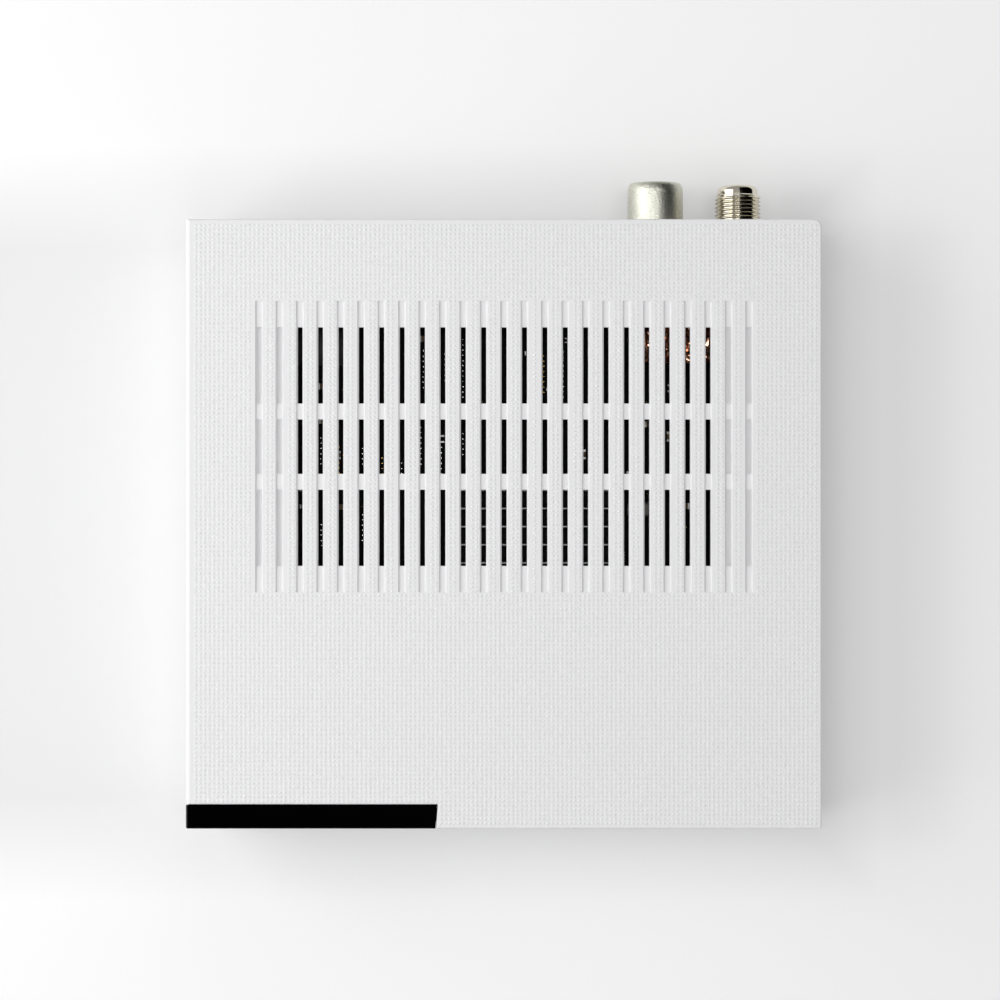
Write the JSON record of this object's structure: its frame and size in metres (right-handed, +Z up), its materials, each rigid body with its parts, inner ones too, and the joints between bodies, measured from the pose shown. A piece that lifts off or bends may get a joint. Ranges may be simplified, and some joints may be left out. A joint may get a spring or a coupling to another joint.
{
  "type": "television set-top box",
  "caption": "Low square white set-top box with a slotted textured top, a black corner window, a standby button and rear sockets for aerials, network and video.",
  "frame": {"origin": "on the table under the middle of the whole outline, rear sockets included", "axes": "+X to the right seen from the front, +Y to the rear where the sockets are, +Z up"},
  "size_m": [0.1282, 0.1316, 0.03],
  "materials": {
    "white_plastic": "satin white with a fine moulded grid on top",
    "window_plastic": "high gloss smoked black",
    "foot_rubber": "matt",
    "screw_steel": "zinc plated",
    "board_laminate": "dark solder mask",
    "chip_resin": "matt moulded",
    "pad_silicone": "soft matt",
    "sink_aluminium": "dark anodised",
    "can_aluminium": "drawn can in a dark sleeve",
    "ferrite": "matt",
    "crystal_can": "nickel plated",
    "tin_plate": "bright tin",
    "copper_foil": "crumpled bright copper",
    "nickel": "bright nickel",
    "satin_tin": "satin tin plate",
    "ivory_plastic": "satin",
    "gold_contact": "gold plated",
    "black_plastic": "satin",
    "shell_steel": "nickel plated sheet",
    "display_plastic": "black face with light segments",
    "receiver_resin": "dark clear resin",
    "light_resin": "tinted clear resin"
  },
  "bodies": {
    "case": {"top_cover": "white_plastic", "base_tray": "white_plastic", "rear_panel": "white_plastic", "front_window": "window_plastic", "rubber_feet": "foot_rubber", "case_screws": "screw_steel", "main_board": "board_laminate", "board_screws": "screw_steel", "system_chip": "chip_resin", "thermal_pad": "pad_silicone", "heat_sink": "sink_aluminium", "memory_chips": "chip_resin", "flash_chip": "chip_resin", "capacitors": "can_aluminium", "inductors": "ferrite", "network_transformer": "black_plastic", "crystal": "crystal_can", "tuner_frame": "tin_plate", "tuner_lid": "tin_plate", "copper_foil": "copper_foil", "tuner_chip": "chip_resin", "aerial_shell": "satin_tin", "aerial_insulator": "ivory_plastic", "aerial_contact": "gold_contact", "f_body": "nickel", "f_insulator": "ivory_plastic", "f_contact": "gold_contact", "power_jack": "black_plastic", "power_pin": "nickel", "network_housing": "black_plastic", "network_shield": "shell_steel", "network_contacts": "gold_contact", "usb_shell": "shell_steel", "usb_tongue": "black_plastic", "hdmi_shell": "shell_steel", "hdmi_tongue": "black_plastic", "optical_body": "black_plastic", "optical_emitter": "ivory_plastic", "front_board": "board_laminate", "board_header": "black_plastic", "display": "display_plastic", "receiver": "receiver_resin", "status_light": "light_resin", "switch_body": "black_plastic"},
    "standby_button": {"standby_button": "white_plastic"},
    "switch_plunger": {"switch_plunger": "black_plastic"},
    "optical_flap": {"optical_flap": "black_plastic"}
  },
  "joints": [
    {"name": "standby_press", "type": "slide", "parent": "case", "child": "standby_button", "axis": [0, 1, 0], "range_m": [0, 0.0005], "stiffness_N_per_m": 400},
    {"name": "switch_press", "type": "slide", "parent": "case", "child": "switch_plunger", "axis": [0, 1, 0], "range_m": [0, 0.0005]},
    {"name": "flap_hinge", "type": "hinge", "parent": "case", "child": "optical_flap", "pos_m": [0.01776, 0.05557, 0.0179], "axis": [-1, 0, 0], "range_deg": [0, 80], "stiffness_Nm_per_rad": 0.0001}
  ],
  "couplings": [
    {"joint": "switch_press", "follows": "standby_press", "ratio": 1}
  ]
}
